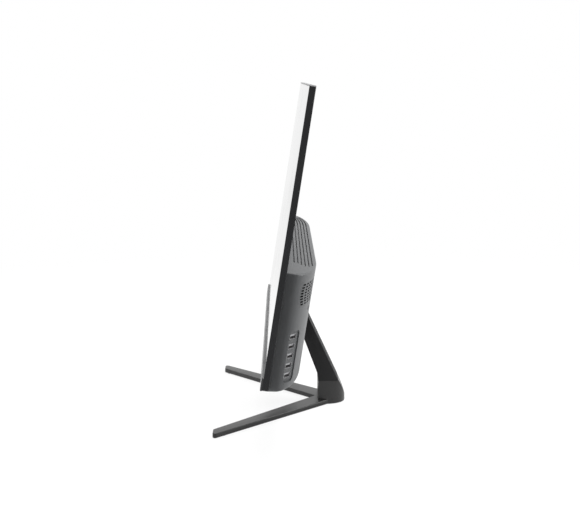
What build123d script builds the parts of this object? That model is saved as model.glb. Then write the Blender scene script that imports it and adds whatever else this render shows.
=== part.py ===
from build123d import *
from math import acos, cos, radians, sin, sqrt
import os

# All-in-one desktop computer on a V-shaped foot.
# X runs across the screen, the screen faces -Y, Z is up and the table is at Z = 0.
# The origin is the middle of the footprint, on the table.
# Places inside the screen unit are given as (x, height, depth): height runs up the
# tilted screen from its lower edge, depth runs rearward from the front of the glass.

os.makedirs("parts", exist_ok=True)

# ---------------------------------------------------------------- driving dimensions
SCREEN_WIDTH = 540.0
SCREEN_HEIGHT = 322.0
PANEL_DEPTH = 7.0
REST_TILT = 9.2            # degrees the screen leans back at rest
SCREEN_LIFT = 89.3         # table to the lower front edge of the screen
SCREEN_FRONT = -20.8       # Y of that edge

HOUSING_HALF_WIDTH = 258.0
HOUSING_TOP = 127.0
HOUSING_BOTTOM = 1.0       # height of the housing's underside at its rear
HOUSING_DROP = 4.4         # how much lower the underside is where it meets the panel
HOUSING_DEPTH = 41.5       # front of the glass to the rear of the housing
CORNER_ACROSS = 108.0      # half axes of the quarter ellipse at each rear corner
CORNER_DEEP = 27.5
WALL = 2.2

FOOT_DEPTH = 162.0
PAD_PROUD = 0.6            # how far the rubber feet stand below the foot plate
FOOT_THICKNESS = 6.0
HEEL_HALF_WIDTH = 21.0
HEEL_TOP = 31.3

HINGE_HEIGHT = 47.5        # hinge axis, in the screen unit
HINGE_DEPTH = 32.5
SHAFT_RADIUS = 4.0
RUNNING_CLEARANCE = 0.05
BARREL_RADIUS = 8.0

# ---------------------------------------------------------------- derived sizes
TILT = radians(REST_TILT)
UP = Vector(0, sin(TILT), cos(TILT))
REARWARD = Vector(0, cos(TILT), -sin(TILT))
PANEL_ORIGIN = Vector(0, SCREEN_FRONT, SCREEN_LIFT)
CORNER_X = HOUSING_HALF_WIDTH - CORNER_ACROSS
CORNER_DEPTH = HOUSING_DEPTH - CORNER_DEEP
FOOT_FRONT = -FOOT_DEPTH / 2
FOOT_REAR = FOOT_DEPTH / 2
FOOT_TOP = PAD_PROUD + FOOT_THICKNESS
HINGE_AXIS = PANEL_ORIGIN + UP * HINGE_HEIGHT + REARWARD * HINGE_DEPTH


# ---------------------------------------------------------------- planes
def layer(depth):
    """Plane parallel to the screen at this depth: x across, y up, facing the viewer."""
    return Plane(origin=PANEL_ORIGIN + REARWARD * depth, x_dir=(1, 0, 0), z_dir=REARWARD * -1)


def level(height):
    """Plane across the screen unit at this height: x across, y rearward, facing up."""
    return Plane(origin=PANEL_ORIGIN + UP * height, x_dir=(1, 0, 0), z_dir=UP)


def section(x):
    """Plane facing +X at this x: its x is depth and its y is height."""
    return Plane(origin=PANEL_ORIGIN + Vector(x, 0, 0), x_dir=REARWARD, z_dir=(1, 0, 0))


def corner_plane(x, side, inset):
    """Plane that lies on the housing's rear corner at distance x from the middle."""
    along = (x - CORNER_X) / CORNER_ACROSS
    around = sqrt(1 - along**2)
    normal = Vector(side, 0, 0) * (along / CORNER_ACROSS) + REARWARD * (around / CORNER_DEEP)
    normal = normal.normalized()
    spot = PANEL_ORIGIN + Vector(side * x, 0, 0) + REARWARD * (CORNER_DEPTH + CORNER_DEEP * around)
    return Plane(origin=spot - normal * inset, x_dir=UP.cross(normal), z_dir=normal)


def rectangle_between(left, right, low, high, radius=0.0):
    """Rectangle given by its four sides, in the sketch that is open."""
    with Locations(((left + right) / 2, (low + high) / 2)):
        if radius > 0:
            RectangleRounded(right - left, high - low, radius)
        else:
            Rectangle(right - left, high - low)


def save(part, label):
    """Label a finished piece and write its STEP file."""
    part.label = label
    export_step(part, f"parts/{label}.step")


def slab(label, left, right, low, high, front, rear, radius=0.0):
    """Flat plate of the screen unit, from depth front to depth rear."""
    with BuildPart() as plate:
        with BuildSketch(layer(rear)):
            rectangle_between(left, right, low, high, radius)
        extrude(amount=rear - front)
    save(plate.part, label)


# ---------------------------------------------------------------- screen
FRAME_WALL = 1.5
CHIN_HEIGHT = 14.4
CHIN_PROUD = 2.0
GLASS_THICKNESS = 0.9
CELL_REAR = 2.1
DIFFUSER_REAR = 2.5
GUIDE_REAR = 4.3
PAN_REAR = 5.0
FIT = 0.2                  # gap round pieces that drop into the frame
HALF_WIDTH = SCREEN_WIDTH / 2
INNER_HALF = HALF_WIDTH - FRAME_WALL - FIT
INNER_LOW = FRAME_WALL + FIT
INNER_HIGH = SCREEN_HEIGHT - FRAME_WALL - FIT


def make_bezel_frame():
    """Thin ring round the edge of the screen, as deep as the panel."""
    with BuildPart() as frame:
        with BuildSketch(layer(PANEL_DEPTH)):
            rectangle_between(-HALF_WIDTH, HALF_WIDTH, 0, SCREEN_HEIGHT, 3.0)
            with Locations((0, SCREEN_HEIGHT / 2)):
                Rectangle(SCREEN_WIDTH - 2 * FRAME_WALL, SCREEN_HEIGHT - 2 * FRAME_WALL,
                          mode=Mode.SUBTRACT)
        extrude(amount=PANEL_DEPTH)
        rear_edges = frame.faces().sort_by(Axis(PANEL_ORIGIN, REARWARD))[-1].outer_wire().edges()
        chamfer(rear_edges, 0.5)
    save(frame.part, "bezel_frame")


def make_chin_bar():
    """Trim bar along the lower edge, standing a little in front of the glass."""
    with BuildPart() as chin:
        with BuildSketch(layer(0)):
            rectangle_between(-HALF_WIDTH, HALF_WIDTH, 0, CHIN_HEIGHT, 1.0)
        extrude(amount=CHIN_PROUD)
        front_face = chin.faces().sort_by(Axis(PANEL_ORIGIN, REARWARD))[0]
        fillet(front_face.edges(), 0.6)
        with BuildSketch(layer(GLASS_THICKNESS)):
            rectangle_between(-INNER_HALF, INNER_HALF, INNER_LOW, CHIN_HEIGHT)
        extrude(amount=GLASS_THICKNESS)
    save(chin.part, "chin_bar")


def make_panel_pan():
    """Pressed steel pan that carries the display stack, with a low rim."""
    rim = 1.2
    with BuildPart() as pan:
        with BuildSketch(layer(PAN_REAR)):
            rectangle_between(-INNER_HALF, INNER_HALF, INNER_LOW, INNER_HIGH)
        extrude(amount=PAN_REAR - GUIDE_REAR)
        with BuildSketch(layer(GUIDE_REAR)):
            rectangle_between(-INNER_HALF, INNER_HALF, INNER_LOW, INNER_HIGH)
            with Locations((0, (INNER_LOW + INNER_HIGH) / 2)):
                Rectangle(2 * (INNER_HALF - rim), INNER_HIGH - INNER_LOW - 2 * rim, mode=Mode.SUBTRACT)
        extrude(amount=GUIDE_REAR - GLASS_THICKNESS)
    save(pan.part, "panel_pan")


def make_led_bar():
    """Light bar under the light guide: a strip with a row of lamps."""
    lamp_count = 54
    lamp_pitch = 9.6
    with BuildPart() as bar:
        with BuildSketch(layer(GUIDE_REAR)):
            rectangle_between(-262, 262, 5.0, 6.4)
        extrude(amount=GUIDE_REAR - DIFFUSER_REAR)
        with BuildSketch(layer(GUIDE_REAR - 0.3)):
            with Locations((0, 7.1)):
                with GridLocations(lamp_pitch, 1, lamp_count, 1):
                    Rectangle(5.0, 1.4)
        extrude(amount=1.2)
    save(bar.part, "led_bar")


def make_screen():
    """The display stack, from the glass to the back cover."""
    make_bezel_frame()
    make_chin_bar()
    slab("screen_glass", -INNER_HALF, INNER_HALF, CHIN_HEIGHT + FIT, INNER_HIGH, 0, GLASS_THICKNESS)
    slab("lcd_cell", -266.5, 266.5, 8.0, 318.5, GLASS_THICKNESS, CELL_REAR)
    slab("diffuser_sheets", -265.5, 265.5, 9.0, 318.0, CELL_REAR, DIFFUSER_REAR)
    slab("light_guide", -264.5, 264.5, 8.4, 317.0, DIFFUSER_REAR, GUIDE_REAR)
    make_led_bar()
    make_panel_pan()
    slab("back_cover", -INNER_HALF, INNER_HALF, INNER_LOW, INNER_HIGH, PAN_REAR, PANEL_DEPTH)


# ---------------------------------------------------------------- rear housing
SLOT_WIDTH = 1.5
SLOT_DEPTHS = (15.5, 19.7, 23.7, 27.7, 31.8, 35.8)
SLOT_RIGHT_ENDS = (186, 188, 194, 200, 198, 190)
SLOT_CURL = 52             # degrees that each slot follows the left rear corner

GRILLE_COLUMNS = (245.0, 234.3, 223.3, 212.1, 200.8)
GRILLE_ROWS = 8
GRILLE_LOW = 92.6
GRILLE_PITCH = 3.06
GRILLE_SLOT = (7.4, 1.9)

PORT_COUNT = 5
PORT_LOW = 14.7
PORT_PITCH = 10.65
BAY_FRONT = (254.8, 20.3)  # x and depth of the bay's front and rear borders
BAY_REAR = (234.8, 31.5)
BAY_INSET = 1.5
BAY_LOW = 7.5
BAY_HIGH = 64.0

WELL_HALF_WIDTH = 29.0
WELL_HIGH = 66.0
WINDOW_HIGH = 58.0
WINDOW_DEPTH = 32.5        # the floor of the housing is open behind this depth
CHASSIS_REAR = 8.0
SCREWS_ON_CHASSIS = ((-38.5, 12), (38.5, 12), (-38.5, 118), (38.5, 118))
SCREWS_ON_COVER = ((-205, 83), (205, 83))
SCREW_HEAD_RADIUS = 2.8
SCREW_RADIUS = 1.5
SCREW_SEAT = 39.6          # depth of the screw seats in the rear wall
COVER_SEAT = 34.0          # depth of the seats of the two screws in the rear corners
COVER_BOSS_REAR = 36.6     # inside the wall at those corners

FAN_X = -81.0
FAN_HEIGHT = 64.0

BUTTON_X = 215.0
BUTTON_DEPTH = 20.0
BUTTON_RADIUS = 4.5
BUTTON_BOTTOM = -2.6       # height of its pressing face

BAY_WIDTH = sqrt((BAY_FRONT[0] - BAY_REAR[0])**2 + (BAY_REAR[1] - BAY_FRONT[1])**2)
BAY_ACROSS = (BAY_REAR[0] - BAY_FRONT[0]) / BAY_WIDTH
BAY_BACK = (BAY_REAR[1] - BAY_FRONT[1]) / BAY_WIDTH
PORT_HEIGHTS = [PORT_LOW + PORT_PITCH * index for index in range(PORT_COUNT)]

# Sockets in the floor of the housing: name, left, right, front depth, rear depth.
FLOOR_SOCKETS = (
    ("rear_usb_stack", 96.0, 110.5, 13.2, 29.2),
    ("hdmi_port", 128.0, 143.0, 13.2, 18.8),
    ("ethernet_port", 152.0, 168.0, 13.2, 26.7),
    ("dc_jack", 180.0, 190.0, 13.2, 24.2),
)


def bay_plane(rise):
    """Plane parallel to the floor of the side port bay; y is the height."""
    along = Vector(1, 0, 0) * BAY_ACROSS + REARWARD * BAY_BACK
    outward = Vector(1, 0, 0) * BAY_BACK - REARWARD * BAY_ACROSS
    middle_x = (BAY_FRONT[0] + BAY_REAR[0]) / 2
    middle_depth = (BAY_FRONT[1] + BAY_REAR[1]) / 2
    middle = PANEL_ORIGIN + Vector(middle_x, 0, 0) + REARWARD * middle_depth
    return Plane(origin=middle + outward * (rise - BAY_INSET), x_dir=along, z_dir=outward)


def housing_plan(height, shrink):
    """Plan of the housing at this height, moved inward by shrink; its front is the panel."""
    half = HOUSING_HALF_WIDTH - shrink
    rear = HOUSING_DEPTH - shrink
    across = CORNER_ACROSS - shrink
    deep = CORNER_DEEP - shrink
    with BuildSketch(level(height)) as plan:
        with BuildLine():
            Polyline((-half, CORNER_DEPTH), (-half, PANEL_DEPTH), (half, PANEL_DEPTH), (half, CORNER_DEPTH))
            EllipticalCenterArc((CORNER_X, CORNER_DEPTH), across, deep, 0, arc_size=90)
            Line((CORNER_X, rear), (-CORNER_X, rear))
            EllipticalCenterArc((-CORNER_X, CORNER_DEPTH), across, deep, 90, arc_size=90)
        make_face()
    return plan.sketch


def cut_top_slots():
    """Six long vents in the top that follow the left rear corner at their far end."""
    for depth, right_end in zip(SLOT_DEPTHS, SLOT_RIGHT_ENDS):
        inset = HOUSING_DEPTH - depth
        with BuildSketch(level(HOUSING_TOP + 1)) as slot:
            with BuildLine():
                Line((right_end, depth), (-CORNER_X, depth))
                EllipticalCenterArc((-CORNER_X, CORNER_DEPTH), CORNER_ACROSS - inset,
                                    CORNER_DEEP - inset, 90, arc_size=SLOT_CURL)
            trace(line_width=SLOT_WIDTH)
        extrude(slot.sketch, amount=-(WALL + 3), mode=Mode.SUBTRACT)


def cut_side_grilles():
    """Short slots round both rear corners, set back a little at the top and bottom rows."""
    reach = 4.0
    bow = 3.5
    middle = (GRILLE_ROWS - 1) / 2
    for side in (-1, 1):
        for x in GRILLE_COLUMNS:
            with BuildSketch(corner_plane(x, side, reach)) as column:
                for row in range(GRILLE_ROWS):
                    shift = side * bow * ((row - middle) / middle)**2
                    with Locations((shift, GRILLE_LOW + GRILLE_PITCH * row)):
                        Rectangle(*GRILLE_SLOT)
            extrude(column.sketch, amount=2 * reach, mode=Mode.SUBTRACT)


def cut_fan_intake():
    """Intake slots in the rear wall behind the fan."""
    with BuildSketch(layer(HOUSING_DEPTH + 1)) as intake:
        with Locations((FAN_X, FAN_HEIGHT)):
            with GridLocations(10.0, 4.2, 5, 9):
                SlotOverall(7.2, 1.8)
    extrude(intake.sketch, amount=WALL + 2, mode=Mode.SUBTRACT)


def add_well():
    """Walls round the hinge, so that the works stay covered where the neck enters."""
    inner_rear = HOUSING_DEPTH - WALL
    with BuildSketch(layer(inner_rear)) as walls:
        rectangle_between(-WELL_HALF_WIDTH - 2, WELL_HALF_WIDTH + 2, HOUSING_BOTTOM + WALL, WELL_HIGH + 2)
        with Locations((0, WELL_HIGH / 2)):
            Rectangle(2 * WELL_HALF_WIDTH, WELL_HIGH, mode=Mode.SUBTRACT)
    extrude(walls.sketch, amount=inner_rear - CHASSIS_REAR)


def add_screw_bosses():
    """Posts from the rear wall to the chassis plate or the back cover."""
    inner_rear = HOUSING_DEPTH - WALL
    boss_radius = 4.0
    for spots, foot, rear in ((SCREWS_ON_CHASSIS, CHASSIS_REAR, inner_rear + 1),
                              (SCREWS_ON_COVER, PANEL_DEPTH, COVER_BOSS_REAR)):
        with BuildSketch(layer(rear)) as bosses:
            with Locations(*spots):
                Circle(boss_radius)
        extrude(bosses.sketch, amount=rear - foot)


def cut_screw_holes():
    """Clearance holes with flat seats for the screw heads."""
    for spots, seat in ((SCREWS_ON_CHASSIS, SCREW_SEAT), (SCREWS_ON_COVER, COVER_SEAT)):
        with BuildSketch(layer(HOUSING_DEPTH + 1)) as seats:
            with Locations(*spots):
                Circle(SCREW_HEAD_RADIUS + 0.25)
        extrude(seats.sketch, amount=HOUSING_DEPTH + 1 - seat, mode=Mode.SUBTRACT)
        with BuildSketch(layer(HOUSING_DEPTH + 1)) as holes:
            with Locations(*spots):
                Circle(SCREW_RADIUS + RUNNING_CLEARANCE)
        extrude(holes.sketch, amount=HOUSING_DEPTH + 2, mode=Mode.SUBTRACT)


def make_rear_housing():
    """Moulded shell over the works, on the lower third of the panel."""
    with BuildPart() as housing:
        lowest = HOUSING_BOTTOM - HOUSING_DROP
        extrude(housing_plan(lowest, 0), amount=HOUSING_TOP - lowest)
        with BuildSketch(section(-HOUSING_HALF_WIDTH - 1)):
            with BuildLine():
                Polyline((PANEL_DEPTH - 1, lowest - 5), (PANEL_DEPTH - 1, lowest), (PANEL_DEPTH, lowest),
                         (HOUSING_DEPTH, HOUSING_BOTTOM), (HOUSING_DEPTH + 1, HOUSING_BOTTOM),
                         (HOUSING_DEPTH + 1, lowest - 5), close=True)
            make_face()
        extrude(amount=2 * HOUSING_HALF_WIDTH + 2, mode=Mode.SUBTRACT)
        for end, radius in ((0, 3.5), (-1, 2.0)):
            end_face = housing.faces().sort_by(Axis(PANEL_ORIGIN, UP))[end]
            rim = [edge for edge in end_face.edges()
                   if (edge.center() - PANEL_ORIGIN).dot(REARWARD) > PANEL_DEPTH + 0.5]
            fillet(rim, radius)
        extrude(housing_plan(HOUSING_BOTTOM + WALL, WALL), amount=HOUSING_TOP - HOUSING_BOTTOM - 2 * WALL,
                mode=Mode.SUBTRACT)
        add_well()
        add_screw_bosses()
        with BuildSketch(bay_plane(-1.6)):
            rectangle_between(-13, 13, BAY_LOW - 2, BAY_HIGH + 2)
        extrude(amount=2.4)
        with BuildSketch(bay_plane(0)):
            rectangle_between(-BAY_WIDTH / 2, BAY_WIDTH / 2, BAY_LOW, BAY_HIGH, 5.0)
        extrude(amount=6, mode=Mode.SUBTRACT)
        with BuildSketch(bay_plane(-4)):
            for height in PORT_HEIGHTS:
                rectangle_between(-6.8, 6.8, height - 3.1, height + 3.1)
        extrude(amount=6, mode=Mode.SUBTRACT)
        cut_top_slots()
        cut_side_grilles()
        cut_fan_intake()
        with BuildSketch(layer(HOUSING_DEPTH + 1)):
            rectangle_between(-WELL_HALF_WIDTH, WELL_HALF_WIDTH, lowest - 1, WINDOW_HIGH)
        extrude(amount=HOUSING_DEPTH + 1 - WINDOW_DEPTH, mode=Mode.SUBTRACT)
        cut_screw_holes()
        with BuildSketch(level(lowest - 1)):
            for _, left, right, front, rear in FLOOR_SOCKETS:
                rectangle_between(left - 0.3, right + 0.3, front - 0.3, rear + 0.3)
            with Locations((BUTTON_X, BUTTON_DEPTH)):
                Circle(BUTTON_RADIUS + 0.1)
        extrude(amount=HOUSING_DROP + WALL + 2, mode=Mode.SUBTRACT)
    save(housing.part, "rear_housing")


def make_housing_screws():
    """The six screws that hold the housing on."""
    with BuildPart() as screws:
        for spots, seat, end in ((SCREWS_ON_CHASSIS, SCREW_SEAT, CHASSIS_REAR),
                                 (SCREWS_ON_COVER, COVER_SEAT, PANEL_DEPTH)):
            with BuildSketch(layer(seat + 1.6)):
                with Locations(*spots):
                    Circle(SCREW_HEAD_RADIUS)
            extrude(amount=1.6)
            with BuildSketch(layer(seat)):
                with Locations(*spots):
                    Circle(SCREW_RADIUS)
            extrude(amount=seat - end - 0.5)
            with BuildSketch(layer(seat + 1.6)):
                with Locations(*spots):
                    Rectangle(3.0, 0.7)
                    Rectangle(0.7, 3.0)
            extrude(amount=0.9, mode=Mode.SUBTRACT)
    save(screws.part, "housing_screws")


# ---------------------------------------------------------------- sockets
USB_WIDTH = 13.1
USB_HEIGHT = 5.7
USB_SHELL = 0.4
USB_DEPTH = 12.0


def make_side_port(index, height):
    """One side socket: folded metal shell with a contact tongue, opening outward."""
    with BuildPart() as port:
        with BuildSketch(bay_plane(-USB_DEPTH)):
            rectangle_between(-USB_WIDTH / 2, USB_WIDTH / 2, height - USB_HEIGHT / 2,
                              height + USB_HEIGHT / 2, 0.6)
        extrude(amount=USB_DEPTH)
        with BuildSketch(bay_plane(-USB_DEPTH + 1.5)):
            with Locations((0, height)):
                Rectangle(USB_WIDTH - 2 * USB_SHELL, USB_HEIGHT - 2 * USB_SHELL)
        extrude(amount=USB_DEPTH, mode=Mode.SUBTRACT)
        with BuildSketch(bay_plane(-USB_DEPTH + 1.5)):
            with Locations((0, height + 1.2)):
                Rectangle(11.1, 1.7)
        extrude(amount=USB_DEPTH - 2.5)
    save(port.part, f"side_usb_port_{index}")


def make_floor_sockets():
    """Sockets on the lower edge of the main board, opening downward."""
    mouth = -0.6
    lengths = {"rear_usb_stack": 19.3, "hdmi_port": 13.8, "ethernet_port": 22.8, "dc_jack": 15.8}
    for name, left, right, front, rear in FLOOR_SOCKETS:
        middle_x = (left + right) / 2
        middle_depth = (front + rear) / 2
        with BuildPart() as socket:
            with BuildSketch(level(mouth)):
                rectangle_between(left, right, front, rear)
            extrude(amount=lengths[name])
            if name == "rear_usb_stack":
                for offset in (-3.9, 3.9):
                    with BuildSketch(level(mouth)):
                        with Locations((middle_x, middle_depth + offset)):
                            Rectangle(12.5, 5.1)
                    extrude(amount=13.0, mode=Mode.SUBTRACT)
                    with BuildSketch(level(mouth + 1)):
                        with Locations((middle_x, middle_depth + offset + 1.2)):
                            Rectangle(11.1, 1.7)
                    extrude(amount=12.0)
            elif name == "hdmi_port":
                with BuildSketch(level(mouth)):
                    with Locations((middle_x, middle_depth)):
                        Rectangle(14.0, 4.5)
                extrude(amount=9.0, mode=Mode.SUBTRACT)
                with BuildSketch(level(mouth + 1)):
                    with Locations((middle_x, middle_depth)):
                        Rectangle(11.5, 1.0)
                extrude(amount=9.0)
            elif name == "ethernet_port":
                with BuildSketch(level(mouth)):
                    with Locations((middle_x, middle_depth - 1.0)):
                        Rectangle(12.0, 8.0)
                    with Locations((middle_x, middle_depth + 4.0)):
                        Rectangle(5.0, 3.0)
                extrude(amount=15.8, mode=Mode.SUBTRACT)
            else:
                with BuildSketch(level(mouth)):
                    with Locations((middle_x, middle_depth)):
                        Circle(3.1)
                        Circle(1.0, mode=Mode.SUBTRACT)
                extrude(amount=10.0, mode=Mode.SUBTRACT)
        save(socket.part, name)


# ---------------------------------------------------------------- works inside the housing
BOARD_FRONT = 11.6
BOARD_REAR = 13.2
BOARD_LEFT = 44.0
BOARD_RIGHT = 198.0
BOARD_LOW = 6.0
BOARD_HIGH = 118.0
STANDOFFS = ((48, 34), (48, 114), (194, 34), (194, 114), (118, 114), (118, 66))
PLATE_REAR = 17.7
PIPE_RADIUS = 2.5
DRIVE = (-196.0, -126.0, 18.0, 118.0)
BLOWER = (-116.0, -46.0, 30.0, 100.0)
BLOWER_FRONT = 22.0
BLOWER_REAR = 33.2
IMPELLER_RADIUS = 25.0
AXLE_RADIUS = 2.0


def make_chassis_plate():
    """Steel plate on the back of the panel that everything is fixed to."""
    with BuildPart() as chassis:
        with BuildSketch(layer(CHASSIS_REAR)):
            rectangle_between(-200, 200, 6, 121, 3.0)
            with Locations(*SCREWS_ON_CHASSIS):
                Circle(1.2, mode=Mode.SUBTRACT)
            with Locations((0, 95)):
                with GridLocations(60, 1, 5, 1):
                    SlotOverall(36, 6, mode=Mode.SUBTRACT)
        extrude(amount=CHASSIS_REAR - PANEL_DEPTH)
    save(chassis.part, "chassis_plate")


def make_motherboard():
    """Main circuit board with its low surface parts."""
    with BuildPart() as board:
        with BuildSketch(layer(BOARD_REAR)):
            rectangle_between(BOARD_LEFT, BOARD_RIGHT, BOARD_LOW, BOARD_HIGH)
            with Locations(*STANDOFFS):
                Circle(1.6, mode=Mode.SUBTRACT)
        extrude(amount=BOARD_REAR - BOARD_FRONT)
        with BuildSketch(layer(BOARD_REAR + 2.4)):
            with Locations((88, 68), (88, 78), (88, 88), (88, 98)):
                Rectangle(7, 7)
            with Locations((160, 72), (160, 86)):
                Rectangle(9, 6)
        extrude(amount=2.4)
    save(board.part, "motherboard")
    with BuildPart() as standoffs:
        with BuildSketch(layer(BOARD_FRONT)):
            with Locations(*STANDOFFS):
                RegularPolygon(2.8, 6)
        extrude(amount=BOARD_FRONT - CHASSIS_REAR)
    save(standoffs.part, "board_standoffs")


def make_cooler():
    """Processor, contact plate, heat pipe and the fin block by the fan."""
    slab("processor", 110, 135, 70, 95, BOARD_REAR, 15.2)
    slab("cold_plate", 100, 145, 60, 105, 15.2, PLATE_REAR)
    pipe_plane = layer(PLATE_REAR + PIPE_RADIUS)
    with BuildPart() as pipe:
        with BuildLine(pipe_plane) as route:
            FilletPolyline((140, 82), (15, 82), (-25, 109), (-108, 109), radius=18)
        with BuildSketch(Plane(origin=route.wire() @ 0, z_dir=route.wire() % 0)):
            Circle(PIPE_RADIUS)
        sweep(path=route.wire())
    save(pipe.part, "heat_pipe")
    fin_front = PLATE_REAR + 2 * PIPE_RADIUS
    fin_count = 18
    with BuildPart() as fins:
        with BuildSketch(layer(fin_front + 1)):
            rectangle_between(-112, -50, 101.2, 122)
        extrude(amount=1)
        with BuildSketch(layer(fin_front + 12)):
            with Locations((-81, 111.6)):
                with GridLocations(61.4 / (fin_count - 1), 1, fin_count, 1):
                    Rectangle(0.6, 20.8)
        extrude(amount=11.5)
    save(fins.part, "fin_stack")


def make_blower():
    """Fan: open-topped volute with its axle, a cover with the inlet, and the impeller."""
    left, right, low, high = BLOWER
    floor_rear = BLOWER_FRONT + 1.0
    with BuildPart() as volute:
        with BuildSketch(layer(BLOWER_REAR)):
            rectangle_between(left, right, low, high, 4.0)
        extrude(amount=BLOWER_REAR - BLOWER_FRONT)
        with BuildSketch(layer(BLOWER_REAR)):
            with Locations((FAN_X, FAN_HEIGHT)):
                Circle(31)
            rectangle_between(FAN_X - 31, FAN_X + 25, FAN_HEIGHT, high + 1)
        extrude(amount=BLOWER_REAR - floor_rear, mode=Mode.SUBTRACT)
        with BuildSketch(layer(30.5)):
            with Locations((FAN_X, FAN_HEIGHT)):
                Circle(AXLE_RADIUS)
        extrude(amount=30.5 - BLOWER_FRONT)
        with BuildSketch(layer(BLOWER_FRONT)):
            with Locations((left + 4, low + 4), (right - 4, low + 4), (left + 4, high - 4)):
                Circle(2.5)
        extrude(amount=BLOWER_FRONT - CHASSIS_REAR)
    save(volute.part, "fan_housing")
    with BuildPart() as cover:
        with BuildSketch(layer(BLOWER_REAR + 0.8)):
            rectangle_between(left, right, low, high, 4.0)
            with Locations((FAN_X, FAN_HEIGHT)):
                Circle(19, mode=Mode.SUBTRACT)
        extrude(amount=0.8)
    save(cover.part, "fan_cover")
    hub_radius = 9.0
    blade_length = IMPELLER_RADIUS - hub_radius + 1
    with BuildPart() as impeller:
        with BuildSketch(layer(31.6)):
            with Locations((FAN_X, FAN_HEIGHT)):
                Circle(hub_radius)
        extrude(amount=31.6 - 23.8)
        with BuildSketch(layer(31.2)):
            with Locations((FAN_X, FAN_HEIGHT)):
                with PolarLocations(hub_radius - 1 + blade_length / 2, 19):
                    Rectangle(blade_length, 0.9, rotation=14)
        extrude(amount=31.2 - 24.4)
        with BuildSketch(layer(30.8)):
            with Locations((FAN_X, FAN_HEIGHT)):
                Circle(AXLE_RADIUS + RUNNING_CLEARANCE)
        extrude(amount=8, mode=Mode.SUBTRACT)
    save(impeller.part, "fan_impeller")


def make_storage():
    """Disk drive in its tray, solid-state module, memory, radio card and clock cell."""
    left, right, low, high = DRIVE
    slab("hard_drive", left, right, low, high, CHASSIS_REAR + 1, CHASSIS_REAR + 8, 2.0)
    with BuildPart() as tray:
        with BuildSketch(level(low - 2)):
            rectangle_between(left - 1.4, right + 1.4, CHASSIS_REAR, CHASSIS_REAR + 1)
            rectangle_between(left - 1.4, left - 0.4, CHASSIS_REAR + 1, CHASSIS_REAR + 7)
            rectangle_between(right + 0.4, right + 1.4, CHASSIS_REAR + 1, CHASSIS_REAR + 7)
        extrude(amount=high - low + 4)
    save(tray.part, "drive_tray")
    slab("ssd_module", 52, 74, 30, 108, BOARD_REAR, BOARD_REAR + 2.3)
    with BuildPart() as socket:
        with BuildSketch(layer(BOARD_REAR + 7)):
            rectangle_between(112, 182, 56, 59.4)
        extrude(amount=7)
    save(socket.part, "memory_socket")
    slab("memory_module_1", 113, 181, 26, 56, BOARD_REAR + 1.4, BOARD_REAR + 2.6)
    slab("memory_module_2", 113, 181, 26, 56, BOARD_REAR + 5.0, BOARD_REAR + 6.2)
    slab("wifi_card", 170, 192, 74, 104, BOARD_REAR, BOARD_REAR + 2.0)
    with BuildPart() as cell:
        with BuildSketch(layer(BOARD_REAR + 3.2)):
            with Locations((92, 44)):
                Circle(10)
        extrude(amount=3.2)
    save(cell.part, "clock_battery")


def make_boards_and_sound():
    """Small boards, aerials, ribbon cable and the two speakers."""
    with BuildPart() as driver:
        with BuildSketch(layer(9.2)):
            rectangle_between(-116, -46, 8, 28)
        extrude(amount=9.2 - CHASSIS_REAR)
        with BuildSketch(layer(11.2)):
            rectangle_between(-70, -54, 18, 26)
        extrude(amount=2.0)
    save(driver.part, "panel_driver_board")
    with BuildPart() as ribbon:
        with BuildSketch(layer(BOARD_FRONT)):
            rectangle_between(-68, -56, 18, 79)
            rectangle_between(-56, 60, 69.5, 79)
        extrude(amount=0.4)
    save(ribbon.part, "panel_cable")
    for side, name in ((-1, "left"), (1, "right")):
        near, far = sorted((side * 206, side * 240))
        slab(f"wifi_antenna_{name}", near, far, 70, 77, PANEL_DEPTH, PANEL_DEPTH + 0.8)
        with BuildPart() as speaker:
            with BuildSketch(layer(22)):
                rectangle_between(near - 1, far + 1, 89, 119, 3.0)
            extrude(amount=22 - PANEL_DEPTH)
            with BuildSketch(layer(22)):
                with Locations((side * 223, 104)):
                    SlotOverall(30, 22)
            extrude(amount=2.5, mode=Mode.SUBTRACT)
            with BuildSketch(layer(21.5)):
                with Locations((side * 223, 104)):
                    SlotOverall(22, 14)
            extrude(amount=3)
        save(speaker.part, f"speaker_{name}")
    with BuildPart() as side_board:
        with BuildSketch(bay_plane(-USB_DEPTH - 1.2)):
            rectangle_between(-7.6, 10, 8, 63)
        extrude(amount=1.2)
    save(side_board.part, "side_port_board")


def make_power_button():
    """Push button in the floor of the housing, and the board with its switch."""
    with BuildPart() as button:
        with BuildSketch(level(BUTTON_BOTTOM)):
            with Locations((BUTTON_X, BUTTON_DEPTH)):
                Circle(BUTTON_RADIUS)
        extrude(amount=HOUSING_BOTTOM + WALL + 0.2 - BUTTON_BOTTOM)
        with BuildSketch(level(HOUSING_BOTTOM + WALL + 0.2)):
            with Locations((BUTTON_X, BUTTON_DEPTH)):
                Circle(BUTTON_RADIUS + 1.5)
        extrude(amount=1.2)
        lowest = button.faces().sort_by(Axis(PANEL_ORIGIN, UP))[0]
        fillet(lowest.edges(), 0.3)
    save(button.part, "power_button")
    with BuildPart() as switch:
        with BuildSketch(level(9.0)):
            rectangle_between(205, 225, PANEL_DEPTH, 29)
        extrude(amount=1.2)
        with BuildSketch(level(5.6)):
            with Locations((BUTTON_X, BUTTON_DEPTH)):
                Rectangle(6, 6)
        extrude(amount=3.4)
    save(switch.part, "power_switch_board")


# ---------------------------------------------------------------- hinge
BARREL_HALF = 17.0
CHEEK_IN = 17.6
CHEEK_OUT = 20.6
WASHER_OUT = 22.1
NUT_OUT = 25.6
SHAFT_HALF = 26.6
BRACKET_LOW = 44.0
BRACKET_HIGH = 65.0
BRACKET_REAR = 11.0


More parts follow.
